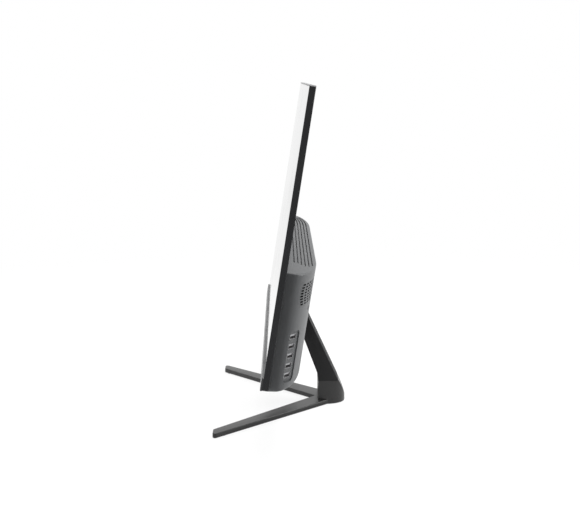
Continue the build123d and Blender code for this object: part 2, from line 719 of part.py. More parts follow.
def make_hinge():
    """Steel bracket with two cheeks, the shaft through them, its washers and nuts."""
    with BuildPart() as bracket:
        with BuildSketch(layer(BRACKET_REAR)):
            rectangle_between(-24, 24, BRACKET_LOW, BRACKET_HIGH, 2.0)
            with Locations((-10, 49), (10, 49), (-10, 60), (10, 60)):
                Circle(1.8, mode=Mode.SUBTRACT)
        extrude(amount=BRACKET_REAR - CHASSIS_REAR)
        for x in (-CHEEK_OUT, CHEEK_IN):
            with BuildSketch(section(x)):
                with BuildLine():
                    Polyline((BRACKET_REAR - 1, BRACKET_LOW + 1.5),
                             (HINGE_DEPTH, HINGE_HEIGHT - BARREL_RADIUS),
                             (HINGE_DEPTH, HINGE_HEIGHT + BARREL_RADIUS),
                             (BRACKET_REAR - 1, BRACKET_HIGH - 1.5),
                             close=True)
                make_face()
                with Locations((HINGE_DEPTH, HINGE_HEIGHT)):
                    Circle(BARREL_RADIUS)
                    Circle(SHAFT_RADIUS + RUNNING_CLEARANCE, mode=Mode.SUBTRACT)
            extrude(amount=CHEEK_OUT - CHEEK_IN)
    save(bracket.part, "hinge_bracket")
    with BuildPart() as shaft:
        with BuildSketch(section(-SHAFT_HALF)):
            with Locations((HINGE_DEPTH, HINGE_HEIGHT)):
                Circle(SHAFT_RADIUS)
        extrude(amount=2 * SHAFT_HALF)
        chamfer(shaft.edges().group_by(Axis.X)[0] + shaft.edges().group_by(Axis.X)[-1], 0.5)
    save(shaft.part, "hinge_shaft")
    with BuildPart() as washers:
        for x in (-WASHER_OUT, CHEEK_OUT):
            with BuildSketch(section(x)):
                with Locations((HINGE_DEPTH, HINGE_HEIGHT)):
                    Circle(7.5)
                    Circle(SHAFT_RADIUS + RUNNING_CLEARANCE, mode=Mode.SUBTRACT)
            extrude(amount=WASHER_OUT - CHEEK_OUT)
    save(washers.part, "hinge_washers")
    with BuildPart() as nuts:
        for x in (-NUT_OUT, WASHER_OUT):
            with BuildSketch(section(x)):
                with Locations((HINGE_DEPTH, HINGE_HEIGHT)):
                    RegularPolygon(7.2, 6)
                    Circle(SHAFT_RADIUS + RUNNING_CLEARANCE, mode=Mode.SUBTRACT)
            extrude(amount=NUT_OUT - WASHER_OUT)
    save(nuts.part, "hinge_nuts")
    with BuildPart() as screws:
        with BuildSketch(layer(BRACKET_REAR + 1.8)):
            with Locations((-10, 49), (10, 49), (-10, 60), (10, 60)):
                Circle(3.0)
        extrude(amount=1.8)
        with BuildSketch(layer(BRACKET_REAR)):
            with Locations((-10, 49), (10, 49), (-10, 60), (10, 60)):
                Circle(1.75)
        extrude(amount=BRACKET_REAR - CHASSIS_REAR)
    save(screws.part, "hinge_screws")


# ---------------------------------------------------------------- stand
HEEL_FRONT = 46.2
HEEL_SIDE_END = 55.2
HEEL_RIM_ROUND = 1.5       # rounding under the back of the heel
NECK_FOOT_REAR = 72.3
NECK_BEND = (45.3, 41.2)       # where the neck's straight front face starts
NECK_FRONT_SLOPE = 0.370       # forward travel per unit of height
NECK_REAR_SLOPE = 0.458
OUTER_LINE = FOOT_REAR - 1.8   # x + y along the outer edge of each leg
INNER_VERTEX = 42.7
TIP_INNER_X = 139.0
SCREW_YS = (52.0, 61.0)
STAND_SCREW_RADIUS = 2.5
STAND_SCREW_TOP = 45.0
PAD_SPOTS = ((-139.5, -71.5), (139.5, -71.5), (-77.5, -13), (77.5, -13), (0, 73))


def heel_plan(height):
    """Plan of the heel: flat front, straight sides and a half-ellipse behind."""
    with BuildSketch(Plane.XY.offset(height)) as plan:
        with BuildLine():
            Polyline((-HEEL_HALF_WIDTH, HEEL_SIDE_END), (-HEEL_HALF_WIDTH, HEEL_FRONT),
                     (HEEL_HALF_WIDTH, HEEL_FRONT), (HEEL_HALF_WIDTH, HEEL_SIDE_END))
            EllipticalCenterArc((0, HEEL_SIDE_END), HEEL_HALF_WIDTH, FOOT_REAR - HEEL_SIDE_END,
                                0, arc_size=180)
        make_face()
    return plan.sketch


def make_stand_foot():
    """V-shaped foot plate with the heel that carries the neck, in one casting."""
    outer_tip_x = OUTER_LINE - FOOT_FRONT
    with BuildPart() as foot:
        extrude(heel_plan(PAD_PROUD), amount=HEEL_TOP - PAD_PROUD)
        with BuildSketch(Plane.YZ.offset(-HEEL_HALF_WIDTH - 1)):
            with BuildLine():
                profile = ThreePointArc((FOOT_REAR + 0.5, FOOT_TOP + 1), (78.2, 18.5),
                                        (NECK_FOOT_REAR, HEEL_TOP))
                Polyline(profile @ 1, (NECK_FOOT_REAR, HEEL_TOP + 5), (FOOT_REAR + 5, HEEL_TOP + 5),
                         (FOOT_REAR + 5, FOOT_TOP + 1), profile @ 0)
            make_face()
        extrude(amount=2 * HEEL_HALF_WIDTH + 2, mode=Mode.SUBTRACT)
        with BuildSketch(Plane.XY.offset(PAD_PROUD)):
            with BuildLine():
                Polyline((-outer_tip_x, FOOT_FRONT), (-TIP_INNER_X, FOOT_FRONT), (0, INNER_VERTEX),
                         (TIP_INNER_X, FOOT_FRONT), (outer_tip_x, FOOT_FRONT), (0, OUTER_LINE), close=True)
            make_face()
        extrude(amount=FOOT_THICKNESS)
        tips = foot.edges().filter_by(Axis.Z).group_by(Axis.Y)[0]
        fillet(tips, 3.0)
        leg_edges = [edge for edge in foot.edges()
                     if abs(edge.center().Z - FOOT_TOP) < 0.01 and abs(edge.center().X) > HEEL_HALF_WIDTH + 1]
        fillet(leg_edges, 0.8)
        heel_rim = [edge for edge in foot.edges().group_by(Axis.Z)[0]
                    if edge.geom_type != GeomType.LINE]
        fillet(heel_rim, HEEL_RIM_ROUND)
        with BuildSketch(Plane.XY.offset(PAD_PROUD)):
            with Locations(*PAD_SPOTS):
                Circle(6.2)
        extrude(amount=1.0, mode=Mode.SUBTRACT)
        with BuildSketch(Plane.XY):
            for y in SCREW_YS:
                with Locations((0, y)):
                    Circle(STAND_SCREW_RADIUS + RUNNING_CLEARANCE)
        extrude(amount=HEEL_TOP + 5, mode=Mode.SUBTRACT)
        with BuildSketch(Plane.XY):
            for y in SCREW_YS:
                with Locations((0, y)):
                    Circle(4.3)
        extrude(amount=5.0, mode=Mode.SUBTRACT)
    save(foot.part, "stand_foot")


def make_stand_neck():
    """Leaning column from the heel to the barrel that turns on the hinge shaft."""
    axis_y = HINGE_AXIS.Y
    axis_z = HINGE_AXIS.Z
    front_top = NECK_BEND[0] - NECK_FRONT_SLOPE * (axis_z - NECK_BEND[1])
    rear_top = NECK_FOOT_REAR - NECK_REAR_SLOPE * (axis_z - HEEL_TOP)
    relief = BARREL_RADIUS + 1.5
    with BuildPart() as neck:
        with BuildSketch(Plane.YZ.offset(-HEEL_HALF_WIDTH)):
            with BuildLine():
                bend = TangentArc((NECK_BEND[0], NECK_BEND[1]), (HEEL_FRONT, HEEL_TOP),
                                  tangent=(NECK_FRONT_SLOPE, -1))
                Polyline(bend @ 1, (NECK_FOOT_REAR, HEEL_TOP), (rear_top, axis_z),
                         (front_top, axis_z), bend @ 0)
            make_face()
        extrude(amount=2 * HEEL_HALF_WIDTH)
        for x in (-HEEL_HALF_WIDTH - 1, BARREL_HALF):
            with BuildSketch(Plane.YZ.offset(x)):
                with Locations((axis_y, axis_z)):
                    Circle(relief)
            extrude(amount=HEEL_HALF_WIDTH + 1 - BARREL_HALF, mode=Mode.SUBTRACT)
        with BuildSketch(Plane.YZ.offset(-BARREL_HALF)):
            with Locations((axis_y, axis_z)):
                Circle(BARREL_RADIUS)
        extrude(amount=2 * BARREL_HALF)
        with BuildSketch(Plane.YZ.offset(-BARREL_HALF - 1)):
            with Locations((axis_y, axis_z)):
                Circle(SHAFT_RADIUS + RUNNING_CLEARANCE)
        extrude(amount=2 * BARREL_HALF + 2, mode=Mode.SUBTRACT)
        with BuildSketch(Plane.XY.offset(HEEL_TOP)):
            for y in SCREW_YS:
                with Locations((0, y)):
                    Circle(STAND_SCREW_RADIUS + RUNNING_CLEARANCE)
        extrude(amount=STAND_SCREW_TOP - HEEL_TOP + 1, mode=Mode.SUBTRACT)
    save(neck.part, "stand_neck")


def make_stand_fasteners():
    """Screws up through the heel, and the rubber feet."""
    with BuildPart() as screws:
        with BuildSketch(Plane.XY.offset(2.0)):
            for y in SCREW_YS:
                with Locations((0, y)):
                    Circle(4.2)
        extrude(amount=3.0)
        with BuildSketch(Plane.XY.offset(5.0)):
            for y in SCREW_YS:
                with Locations((0, y)):
                    Circle(STAND_SCREW_RADIUS)
        extrude(amount=STAND_SCREW_TOP - 5.0)
    save(screws.part, "stand_screws")
    with BuildPart() as pads:
        with BuildSketch(Plane.XY):
            with Locations(*PAD_SPOTS):
                Circle(6.0)
        extrude(amount=PAD_PROUD + 1.0)
    save(pads.part, "rubber_feet")


# ---------------------------------------------------------------- build
make_screen()
make_rear_housing()
make_housing_screws()
for port_index, port_height in enumerate(PORT_HEIGHTS, start=1):
    make_side_port(port_index, port_height)
make_floor_sockets()
make_chassis_plate()
make_motherboard()
make_cooler()
make_blower()
make_storage()
make_boards_and_sound()
make_power_button()
make_hinge()
make_stand_foot()
make_stand_neck()
make_stand_fasteners()
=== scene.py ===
"""All-in-one desktop computer: finishes, fine detail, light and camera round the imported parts."""

import logging
from dataclasses import dataclass
from enum import Enum
from math import cos, radians, sin
from typing import Any, Callable, Optional, Sequence, Union

import bmesh
import bpy
from mathutils import Matrix, Quaternion, Vector

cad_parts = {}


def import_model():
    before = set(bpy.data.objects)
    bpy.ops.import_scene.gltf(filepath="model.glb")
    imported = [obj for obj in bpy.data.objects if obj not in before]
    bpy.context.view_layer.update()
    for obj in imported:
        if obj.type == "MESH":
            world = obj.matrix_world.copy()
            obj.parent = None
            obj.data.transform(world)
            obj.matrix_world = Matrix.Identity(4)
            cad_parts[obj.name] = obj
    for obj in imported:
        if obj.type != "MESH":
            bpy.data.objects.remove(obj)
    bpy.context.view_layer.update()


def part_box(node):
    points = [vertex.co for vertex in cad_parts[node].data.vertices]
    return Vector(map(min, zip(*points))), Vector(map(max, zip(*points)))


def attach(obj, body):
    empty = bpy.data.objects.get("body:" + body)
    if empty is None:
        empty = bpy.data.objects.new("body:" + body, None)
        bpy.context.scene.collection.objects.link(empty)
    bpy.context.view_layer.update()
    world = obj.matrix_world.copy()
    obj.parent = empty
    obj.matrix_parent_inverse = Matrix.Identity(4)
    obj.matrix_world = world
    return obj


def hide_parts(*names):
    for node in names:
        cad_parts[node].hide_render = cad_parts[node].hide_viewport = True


logging.basicConfig(level=logging.INFO, format="%(message)s")
log = logging.getLogger("computer")

MM = 0.001
REST_TILT = radians(9.2)
UP = Vector((0.0, sin(REST_TILT), cos(REST_TILT)))
REARWARD = Vector((0.0, cos(REST_TILT), -sin(REST_TILT)))
PANEL_ORIGIN = Vector((0.0, -20.8, 89.3)) * MM

WELD_DISTANCE = 2e-6
FLAT_ANGLE = radians(0.3)

Colour = tuple[float, float, float]


class Body(str, Enum):
    """The rigid bodies that new pieces ride on."""

    STAND = "stand"
    SCREEN = "screen_unit"


class Grain(Enum):
    """How the fine surface pattern of a finish is laid out."""

    SPECKLE = "speckle"
    BRUSHED = "brushed"
    CELLS = "cells"


def unit_place(x: float, height: float, depth: float) -> Vector:
    """Turn a place in the tilted screen unit into the row frame.

    Args:
        x: Distance across, in mm.
        height: Distance up the screen from its lower edge, in mm.
        depth: Distance behind the front of the glass, in mm.

    Returns:
        The point in metres.
    """
    return PANEL_ORIGIN + (Vector((x, 0, 0)) + UP * height + REARWARD * depth) * MM


# ---------------------------------------------------------------- shader tools
class Wire:
    """A node's output socket on which Python arithmetic adds Math nodes."""

    def __init__(self, sheet: "NodeSheet", socket: bpy.types.NodeSocket) -> None:
        """Keep the socket and the sheet that its nodes go on."""
        self.sheet = sheet
        self.socket = socket

    def maths(self, operation: str, *values: Union["Wire", float]) -> "Wire":
        """Add one Math node.

        Args:
            operation: The node's operation.
            values: Its inputs, in order.

        Returns:
            The node's result.
        """
        return self.sheet.add("ShaderNodeMath", {"operation": operation}, dict(enumerate(values)))

    def __add__(self, other: Union["Wire", float]) -> "Wire":
        """Sum."""
        return self.maths("ADD", self, other)

    __radd__ = __add__

    def __sub__(self, other: Union["Wire", float]) -> "Wire":
        """Difference."""
        return self.maths("SUBTRACT", self, other)

    def __rsub__(self, other: float) -> "Wire":
        """Difference from a number."""
        return self.maths("SUBTRACT", other, self)

    def __mul__(self, other: Union["Wire", float]) -> "Wire":
        """Product."""
        return self.maths("MULTIPLY", self, other)

    __rmul__ = __mul__

    def __abs__(self) -> "Wire":
        """Size without sign."""
        return self.maths("ABSOLUTE", self)

    def __gt__(self, other: Union["Wire", float]) -> "Wire":
        """One where this is the larger, else nought."""
        return self.maths("GREATER_THAN", self, other)

    def ease(self, low: float, high: float) -> "Wire":
        """Smooth step from nought at low to one at high."""
        settings = {"interpolation_type": "SMOOTHSTEP"}
        return self.sheet.add("ShaderNodeMapRange", settings, {"Value": self, 1: low, 2: high})


Input = Union[Wire, float, Sequence[float]]


class NodeSheet:
    """The node tree of one material or world, with one method that adds any node."""

    def __init__(self, name: str, world: bool = False) -> None:
        """Start an empty material, or an empty world, of this name."""
        store = bpy.data.worlds if world else bpy.data.materials
        self.end_kind = "ShaderNodeOutputWorld" if world else "ShaderNodeOutputMaterial"
        self.owner = store.new(name)
        self.owner.use_nodes = True
        self.tree = self.owner.node_tree
        self.tree.nodes.clear()
        self.spot: Optional[Wire] = None

    @property
    def place(self) -> Wire:
        """Object coordinates, from one node that every pattern shares."""
        if self.spot is None:
            self.spot = self.add("ShaderNodeTexCoord", {}, {}, "Object")
        return self.spot

    def add(self, kind: str, settings: dict[str, Any], inputs: dict[Union[str, int], Input],
            output: Union[str, int] = 0) -> Wire:
        """Add a node, set it up and feed it.

        Args:
            kind: The node's type.
            settings: Its properties, which are set first.
            inputs: Values or wires for its sockets, by name or number.
            output: The socket that is handed back.

        Returns:
            The chosen output.
        """
        node = self.tree.nodes.new(kind)
        for key, value in settings.items():
            setattr(node, key, value)
        for key, value in inputs.items():
            if isinstance(value, Wire):
                self.tree.links.new(value.socket, node.inputs[key])
            else:
                node.inputs[key].default_value = value
        return Wire(self, node.outputs[output])

    def noise(self, scale: float, detail: float = 2.0, stretch: Colour = (1, 1, 1)) -> Wire:
        """Cloudy pattern on object coordinates.

        Args:
            scale: Features per metre.
            detail: Octaves.
            stretch: Scale along each axis.

        Returns:
            The pattern, about nought to one.
        """
        spot = self.add("ShaderNodeMapping", {}, {"Vector": self.place, "Scale": stretch}, "Vector")
        return self.add("ShaderNodeTexNoise", {}, {"Vector": spot, "Scale": scale, "Detail": detail})

    def mix(self, factor: Input, first: Input, second: Input) -> Wire:
        """Blend two colours.

        Args:
            factor: Share of the second.
            first: Colour or wire at nought.
            second: Colour or wire at one.

        Returns:
            The blended colour.
        """
        inputs = {0: factor, 6: self.rgba(first), 7: self.rgba(second)}
        return self.add("ShaderNodeMix", {"data_type": "RGBA"}, inputs, 2)

    @staticmethod
    def rgba(colour: Input) -> Input:
        """Give a plain colour its alpha, and leave a wire alone."""
        return colour if isinstance(colour, Wire) else (*colour, 1.0)

    def along(self, direction: Vector) -> Wire:
        """Distance from the panel's origin along a direction, in metres.

        Args:
            direction: Unit vector.

        Returns:
            The distance.
        """
        shifted = self.add("ShaderNodeVectorMath", {"operation": "SUBTRACT"},
                           {0: self.place, 1: tuple(PANEL_ORIGIN)}, "Vector")
        return self.add("ShaderNodeVectorMath", {"operation": "DOT_PRODUCT"},
                        {0: shifted, 1: tuple(direction)}, "Value")

    def bump(self, height: Wire, strength: float, distance: float) -> Wire:
        """Normal disturbed by a height.

        Args:
            height: Pattern that lifts the surface.
            strength: Share of the effect.
            distance: Height of the pattern, in metres.

        Returns:
            The normal.
        """
        inputs = {"Height": height, "Strength": strength, "Distance": distance}
        return self.add("ShaderNodeBump", {}, inputs, "Normal")

    def shade(self, inputs: dict[str, Input]) -> bpy.types.Material:
        """Finish the material with one surface shader.

        Args:
            inputs: Values and wires for the shader.

        Returns:
            The material.
        """
        shader = self.add("ShaderNodeBsdfPrincipled", {}, inputs, "BSDF")
        return self.close(shader)

    def close(self, shader: Wire) -> Union[bpy.types.Material, bpy.types.World]:
        """Join a shader to the output and hand back the material or world."""
        end = self.tree.nodes.new(self.end_kind)
        self.tree.links.new(shader.socket, end.inputs["Surface"])
        return self.owner


# ---------------------------------------------------------------- finishes
@dataclass(frozen=True)
class Finish:
    """Base of every finish: a name and a colour.

    Attributes:
        name: Name of the material.
        colour: Base colour, linear.
    """

    name: str
    colour: Colour

    def make(self) -> bpy.types.Material:
        """Build the material."""
        raise NotImplementedError


@dataclass(frozen=True)
class MouldedPlastic(Finish):
    """Textured moulding with faint flow, dust and handling marks.

    Attributes:
        roughness: Middle roughness.
        grain: Texture features per metre.
        depth: Height of the texture, in metres.
        level: Strength of the face-on reflection.
        marks: How much handling changes the gloss.
    """

    roughness: float = 0.42
    grain: float = 1500.0
    depth: float = 0.00004
    level: float = 0.3
    marks: float = 0.1

    def make(self) -> bpy.types.Material:
        """Build the material."""
        sheet = NodeSheet(self.name)
        fine = sheet.noise(self.grain, 3.0)
        cells = sheet.add("ShaderNodeTexVoronoi", {}, {"Vector": sheet.place, "Scale": self.grain * 0.8},
                          "Distance")
        cloud = sheet.noise(14.0, 4.0)
        dust = sheet.noise(420.0, 4.0).ease(0.66, 0.8)
        shade = cloud * 0.5 + fine * 0.25 + 0.1
        lighter = tuple(channel * 1.35 + 0.002 for channel in self.colour)
        darker = tuple(channel * 0.75 for channel in self.colour)
        dusty = tuple(channel * 1.6 + 0.01 for channel in self.colour)
        base = sheet.mix(dust * 0.35, sheet.mix(shade, darker, lighter), dusty)
        rough = cloud * self.marks + fine * 0.06 + dust * 0.12 + (self.roughness - self.marks / 2)
        return sheet.shade({"Base Color": base, "Roughness": rough, "Specular IOR Level": self.level,
                            "Normal": sheet.bump(fine * 0.6 + cells * 0.4, 0.55, self.depth)})


@dataclass(frozen=True)
class GlossPlastic(Finish):
    """Polished moulding with hairline scuffs and a slight ripple.

    Attributes:
        roughness: Roughness where it is clean.
        level: Strength of the face-on reflection.
    """

    roughness: float = 0.14
    level: float = 0.4

    def make(self) -> bpy.types.Material:
        """Build the material."""
        sheet = NodeSheet(self.name)
        ripple = sheet.noise(60.0, 2.0)
        scuffs = sheet.noise(380.0, 3.0, (0.12, 1.0, 1.6)).ease(0.6, 0.78)
        prints = sheet.noise(22.0, 5.0).ease(0.45, 0.7)
        base = sheet.mix(prints * 0.4, self.colour, tuple(channel * 1.5 + 0.003 for channel in self.colour))
        return sheet.shade({"Base Color": base, "Roughness": scuffs * 0.12 + prints * 0.08 + self.roughness,
                            "Specular IOR Level": self.level, "Normal": sheet.bump(ripple, 0.15, 0.00006)})


@dataclass(frozen=True)
class PaintedMetal(Finish):
    """Powder-coated casting with fine orange peel, worn a little where it is handled.

    Attributes:
        roughness: Middle roughness.
        sparkle: Share of metal flake in the coat.
        level: Strength of the face-on reflection.
    """

    roughness: float = 0.38
    sparkle: float = 0.12
    level: float = 0.35

    def make(self) -> bpy.types.Material:
        """Build the material."""
        sheet = NodeSheet(self.name)
        peel = sheet.noise(900.0, 2.0)
        flake = sheet.add("ShaderNodeTexVoronoi", {}, {"Vector": sheet.place, "Scale": 2600.0}, "Color")
        glint = sheet.add("ShaderNodeRGBToBW", {}, {"Color": flake}).ease(0.62, 0.9)
        patch = sheet.noise(18.0, 4.0)
        scratch = sheet.noise(260.0, 3.0, (1.0, 0.08, 1.0)).ease(0.68, 0.8)
        light = tuple(channel * 1.5 + 0.006 for channel in self.colour)
        base = sheet.mix(patch * 0.45 + glint * 0.2, self.colour, light)
        return sheet.shade({"Base Color": base, "Metallic": glint * self.sparkle,
                            "Roughness": patch * 0.12 + scratch * 0.1 + (self.roughness - 0.06),
                            "Specular IOR Level": self.level, "Normal": sheet.bump(peel, 0.35, 0.00005)})


@dataclass(frozen=True)
class Metal(Finish):
    """Bare or plated metal.

    Attributes:
        grain: Layout of the fine pattern.
        roughness: Middle roughness.
        tarnish: Share of dull patches.
    """

    grain: Grain = Grain.SPECKLE
    roughness: float = 0.3
    tarnish: float = 0.4

    def make(self) -> bpy.types.Material:
        """Build the material."""
        sheet = NodeSheet(self.name)
        if self.grain is Grain.BRUSHED:
            fine = sheet.noise(1200.0, 3.0, (0.03, 1.0, 1.0))
        elif self.grain is Grain.CELLS:
            fine = sheet.add("ShaderNodeTexVoronoi", {}, {"Vector": sheet.place, "Scale": 500.0}, "Distance")
        else:
            fine = sheet.noise(1600.0, 3.0)
        dull = sheet.noise(70.0, 5.0).ease(0.45, 0.75)
        worn = tuple(channel * 0.6 for channel in self.colour)
        base = sheet.mix(dull * self.tarnish, sheet.mix(fine * 0.3, self.colour, worn), worn)
        rough = fine * 0.1 + dull * 0.2 + self.roughness
        return sheet.shade({"Base Color": base, "Metallic": 1.0, "Roughness": rough,
                            "Normal": sheet.bump(fine, 0.2, 0.00003)})


@dataclass(frozen=True)
class CircuitBoard(Finish):
    """Laminated board: solder mask over copper tracks, with pads."""

    def make(self) -> bpy.types.Material:
        """Build the material."""
        sheet = NodeSheet(self.name)
        tracks = sheet.add("ShaderNodeTexBrick", {},
                           {"Vector": sheet.place, "Scale": 120.0, "Mortar Size": 0.06}, "Fac")
        pads = sheet.add("ShaderNodeTexVoronoi", {}, {"Vector": sheet.place, "Scale": 260.0}, "Distance")
        pad = 1 - pads.ease(0.16, 0.2)
        raised = tuple(channel * 1.7 for channel in self.colour)
        base = sheet.mix(pad, sheet.mix(tracks, self.colour, raised), (0.75, 0.62, 0.35))
        return sheet.shade({"Base Color": base, "Metallic": pad * 0.9, "Roughness": 0.42 - pad * 0.12,
                            "Normal": sheet.bump(tracks + pad, 0.3, 0.00005)})


@dataclass(frozen=True)
class DisplayGlass(Finish):
    """Polished display: a black printed border round a slightly lighter picture area.

    Attributes:
        picture: Colour of the switched-off picture area.
        half_width: Half width of the picture, in metres.
        low: Height of the picture's lower edge up the screen, in metres.
        high: Height of its upper edge, in metres.
    """

    picture: Colour = (0.012, 0.0125, 0.014)
    half_width: float = 0.2635
    low: float = 0.0175
    high: float = 0.3145

    def make(self) -> bpy.types.Material:
        """Build the material."""
        sheet = NodeSheet(self.name)
        across = abs(sheet.along(Vector((1, 0, 0))))
        height = sheet.along(UP)
        inside = (1 - (across > self.half_width)) * (height > self.low) * (1 - (height > self.high))
        smear = sheet.noise(9.0, 5.0).ease(0.4, 0.75)
        dust = sheet.noise(700.0, 3.0).ease(0.72, 0.84)
        pixels = sheet.noise(2400.0, 1.0)
        picture = sheet.mix(pixels * 0.3, self.picture, tuple(channel * 1.3 for channel in self.picture))
        base = sheet.mix(dust * 0.1, sheet.mix(inside, self.colour, picture), (0.2, 0.2, 0.19))
        return sheet.shade({"Base Color": base, "Roughness": smear * 0.05 + dust * 0.1 + 0.03,
                            "Normal": sheet.bump(sheet.noise(5.0, 1.0), 0.05, 0.0001)})


@dataclass(frozen=True)
class ClearPlastic(Finish):
    """Milky or clear sheet inside the display."""

    def make(self) -> bpy.types.Material:
        """Build the material."""
        sheet = NodeSheet(self.name)
        dots = sheet.add("ShaderNodeTexVoronoi", {}, {"Vector": sheet.place, "Scale": 700.0}, "Distance")
        cloud = sheet.noise(12.0, 3.0)
        base = sheet.mix(cloud, self.colour, tuple(channel * 0.92 for channel in self.colour))
        return sheet.shade({"Base Color": base, "Roughness": dots * 0.2 + 0.25,
                            "Normal": sheet.bump(dots, 0.2, 0.00004)})


@dataclass(frozen=True)
class MeshScreen(Finish):
    """Fine woven screen: threads both ways over dark gaps.

    Attributes:
        threads: Threads per metre.
    """

    threads: float = 900.0

    def make(self) -> bpy.types.Material:
        """Build the material."""
        sheet = NodeSheet(self.name)
        inputs = {"Vector": sheet.place, "Scale": self.threads / 20}
        warp, weft = (sheet.add("ShaderNodeTexWave", {"wave_type": "BANDS", "bands_direction": run},
                                inputs, "Fac") for run in "XY")
        thread = warp.maths("MAXIMUM", warp, weft)
        lint = sheet.noise(160.0, 4.0).ease(0.5, 0.75)
        dark = tuple(channel * 0.45 for channel in self.colour)
        base = sheet.mix(lint * 0.25, sheet.mix(thread, dark, self.colour), (0.3, 0.3, 0.29))
        return sheet.shade({"Base Color": base, "Roughness": lint * 0.1 + 0.6, "Specular IOR Level": 0.3,
                            "Normal": sheet.bump(thread, 0.4, 0.0001)})


@dataclass(frozen=True)
class Rubber(Finish):
    """Soft rubber with a fine bloom and picked-up dust."""

    def make(self) -> bpy.types.Material:
        """Build the material."""
        sheet = NodeSheet(self.name)
        fine = sheet.noise(1800.0, 4.0)
        dust = sheet.noise(150.0, 5.0).ease(0.5, 0.8)
        base = sheet.mix(dust * 0.4, self.colour, (0.06, 0.057, 0.05))
        return sheet.shade({"Base Color": base, "Roughness": fine * 0.1 + dust * 0.1 + 0.7,
                            "Specular IOR Level": 0.3, "Normal": sheet.bump(fine, 0.4, 0.00005)})


class Palette:
    """Every finish of the computer, each made once."""

    def __init__(self) -> None:
        """Build the materials."""
        self.housing = MouldedPlastic("housing_plastic", (0.058, 0.06, 0.062), 0.38, level=0.2).make()
        self.neck = MouldedPlastic("neck_plastic", (0.017, 0.017, 0.0175), 0.66, level=0.1).make()
        self.black = MouldedPlastic("black_plastic", (0.009, 0.009, 0.0095), 0.55).make()
        self.bezel = GlossPlastic("bezel_gloss", (0.009, 0.0095, 0.011), level=0.25).make()
        self.chin = GlossPlastic("chin_satin", (0.009, 0.0095, 0.0115), roughness=0.24, level=0.5).make()
        self.button = GlossPlastic("button_plastic", (0.035, 0.035, 0.037), roughness=0.22).make()
        self.screen = DisplayGlass("screen_glass", (0.004, 0.004, 0.0045)).make()
        self.cell = ClearPlastic("display_cell", (0.05, 0.05, 0.06)).make()
        self.milky = ClearPlastic("milky_sheet", (0.85, 0.85, 0.85)).make()
        self.clear = ClearPlastic("clear_sheet", (0.75, 0.78, 0.78)).make()
        self.foot = PaintedMetal("foot_paint", (0.012, 0.0118, 0.0118), roughness=0.3, level=0.36).make()
        self.steel = Metal("plated_steel", (0.52, 0.52, 0.53), Grain.BRUSHED, 0.28).make()
        self.shell = Metal("socket_shell", (0.36, 0.36, 0.37), Grain.SPECKLE, 0.45, 0.6).make()
        self.dark_steel = PaintedMetal("dark_steel", (0.016, 0.016, 0.017), roughness=0.42, sparkle=0.5).make()
        self.aluminium = Metal("aluminium", (0.72, 0.72, 0.73), Grain.CELLS, 0.34).make()
        self.brass = Metal("brass", (0.68, 0.5, 0.22), Grain.SPECKLE, 0.3).make()
        self.nickel = Metal("dark_nickel", (0.13, 0.125, 0.12), Grain.BRUSHED, 0.4).make()
        self.gold = Metal("contact_gold", (0.9, 0.66, 0.28), Grain.SPECKLE, 0.22, 0.1).make()
        self.weave = MeshScreen("dust_weave", (0.17, 0.172, 0.175)).make()
        self.board = CircuitBoard("circuit_board", (0.015, 0.09, 0.045)).make()
        self.rubber = Rubber("rubber", (0.016, 0.016, 0.016)).make()


